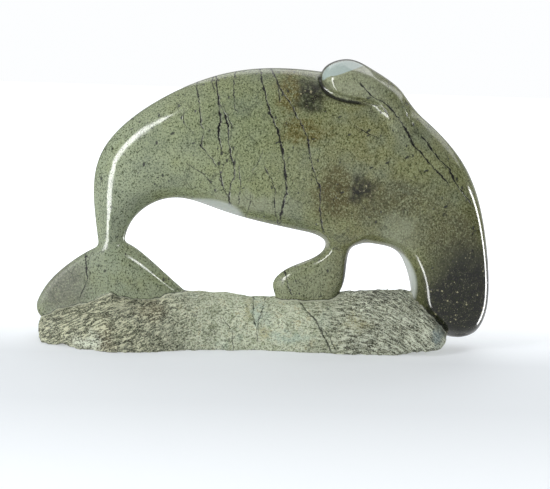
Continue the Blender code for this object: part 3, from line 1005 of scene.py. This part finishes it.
def serpentine():
    """Polished green stone, veined and stained, turning pale and tooled where it was left rough."""
    material, shader = new_material("serpentine")
    w = Stone(material.node_tree)
    vein_lines, foot_lines = veins(w)
    colour, specks = whale_colour(w, vein_lines)
    rough, coarse = foot_colour(w, foot_lines)

    # Where the polish ends: a pale bruised edge, then a dark line of painted shade in the crease,
    # fainter towards the head
    ragged = w.wander(w.mark("polish"), w.noise(w.stone, 4.0, detail=4.0), 2.4)
    polished = w.ramp(ragged, -0.35, 0.25)
    edge = w.times(w.ramp(ragged, -3.6, -1.6), w.ramp(ragged, -0.2, -0.7))
    crease_shade = w.times(w.ramp(ragged, -0.9, -0.1), w.ramp(ragged, 1.1, 0.1))
    crease_shade = w.times(crease_shade, w.ramp(w.along, 90.0, 130.0, 1.0, 0.35))
    rough = w.coats(rough, split_tone, (edge, (204, 207, 184), 0.7), (crease_shade, (40, 42, 30), 0.85))
    colour = w.coats(colour, tone, (crease_shade, (36, 38, 28), 0.7))
    w.feed(shader.inputs["Base Color"], w.blend(polished, rough, colour))

    # Gloss, duller on the specks, at the flukes and at the lower flipper's end
    smear = w.noise(w.stone, 14.0, detail=3.0, place=(0, 0, 120))
    gloss = w.math("MULTIPLY_ADD", specks, 0.2, w.ramp(smear, 0.3, 0.7, 0.10, 0.17))
    gloss = w.math("MULTIPLY_ADD", w.all_of(w.wall, DULL), 0.42, gloss)
    w.feed(shader.inputs["Roughness"], w.between(polished, 0.82, gloss))

    # Relief: shallow pits and open veins in the polish, chisel strokes and grain on the foot
    shallow = w.times(w.greatest(w.times(specks, 0.5), vein_lines), -0.16)
    relief = {"Distance": 0.001, "Strength": 0.9, "Height": w.between(polished, coarse, shallow)}
    w.feed(shader.inputs["Normal"], w.node("Bump", relief).outputs[0])
    return material


carving.data.materials.append(serpentine())


# Camera, floor and light, in metres

CAMERA_PLACE = (0.01055, -0.8877, 0.2366)
CAMERA_DOWN = math.radians(9.48)
CAMERA_ROLL = math.radians(1.82)
CAMERA_LENS, SENSOR_WIDTH = 66.96, 36  # millimetres
FLOOR_REACH = 14.0
# Softboxes: name, place, what they face, width and height, brightness
SOFTBOXES = (
    ("left_strip", (-1.25, -0.95, 0.0), (0.0, 0.0, 0.1), (0.42, 2.9), 17),
    ("right_strip", (1.65, 0.35, -0.25), (0.1, 0.0, 0.1), (0.45, 1.9), 20),
    ("overhead", (0.1, 1.0, 1.6), (0.0, 0.0, 0.1), (1.8, 1.1), 1.8),
    ("right_panel", (1.1, 0.9, 1.05), (0.12, 0.0, 0.2), (0.7, 0.7), 1.3),
)


def set_camera():
    data = bpy.data.cameras.new("camera")
    data.sensor_width = SENSOR_WIDTH
    data.sensor_fit = "HORIZONTAL"
    data.lens = CAMERA_LENS
    data.clip_end = 50
    camera = add_object("camera", data)
    turn = Matrix.Rotation(math.pi / 2 - CAMERA_DOWN, 4, "X") @ Matrix.Rotation(CAMERA_ROLL, 4, "Z")
    camera.matrix_world = Matrix.Translation(CAMERA_PLACE) @ turn
    bpy.context.scene.camera = camera


def set_floor():
    """A pale floor that runs out to white, wide enough to fill every view."""
    mesh = bpy.data.meshes.new("floor")
    square = ((-1, -1), (1, -1), (1, 1), (-1, 1))
    mesh.from_pydata([(x * FLOOR_REACH, y * FLOOR_REACH, 0) for x, y in square], [], [(0, 1, 2, 3)])
    floor = add_object("floor", mesh)
    material, shader = new_material("pale_floor")
    w = Wiring(material.node_tree)
    place = w.node("TexCoord").outputs["Object"]
    deep = w.axes(place)["Y"]
    glow = w.greatest(w.ramp(w.vector("LENGTH", place), 0.3, 1.0, 0.32), w.ramp(deep, -0.3, 0.35),
                      w.ramp(deep, -0.12, -0.4, 0.3, 0.5))
    for name, value in (("Base Color", (0.45, 0.475, 0.50, 1)), ("Emission Color", (0.97, 0.99, 1, 1)),
                        ("Emission Strength", glow), ("Roughness", 0.6), ("Specular IOR Level", 0.1)):
        w.feed(shader.inputs[name], value)
    mesh.materials.append(material)
    floor.visible_glossy = False  # so the polish mirrors the strip lights down to their lower ends


def add_light(name, kind, place, target, **settings):
    """A light of the given kind that faces the target."""
    data = bpy.data.lights.new(name, kind)
    for label, value in settings.items():
        setattr(data, label, value)
    aim = (Vector(target) - Vector(place)).to_track_quat("-Z", "Y")
    add_object(name, data).matrix_world = Matrix.Translation(place) @ aim.to_matrix().to_4x4()


def set_world():
    """White all round to the eye; as light, a white sweep behind, a pale table and a dim room."""
    world = bpy.data.worlds.new("studio")
    world.use_nodes = True
    w = Wiring(world.node_tree)
    backdrop = world.node_tree.nodes["Background"]
    ray = w.axes(w.node("TexCoord").outputs["Generated"])
    light = w.greatest(w.ramp(ray["Y"], 0.70, 0.88, 0.12, 0.5), w.ramp(ray["Z"], 0.02, -0.12, 0.0, 0.75),
                       w.ramp(ray["Z"], 0.35, 0.85, 0.0, 0.7), w.ramp(ray["Y"], -0.1, -0.7, 0.0, 0.27))
    seen = w.node("LightPath").outputs["Is Camera Ray"]
    w.feed(backdrop.inputs["Strength"], w.between(seen, light, 1.0))
    w.feed(backdrop.inputs["Color"], (0.98, 0.99, 1.0, 1))
    bpy.context.scene.world = world


def set_lights():
    """Softboxes, each as bright as its number at any size, and a lamp for the right fluke's glint."""
    for name, place, target, (wide, tall), radiance in SOFTBOXES:
        add_light(name, "AREA", place, target, shape="RECTANGLE", size=wide, size_y=tall,
                  energy=radiance * math.pi * wide * tall)
    add_light("fluke_spot", "SPOT", (0.56, -1.14, 0.79), (-0.095, 0.0, 0.062), energy=15.0,
              shadow_soft_size=0.13, spot_size=math.radians(6.5), spot_blend=0.4)
    bpy.context.scene.view_settings.view_transform = "Standard"


set_camera()
set_floor()
set_lights()
set_world()
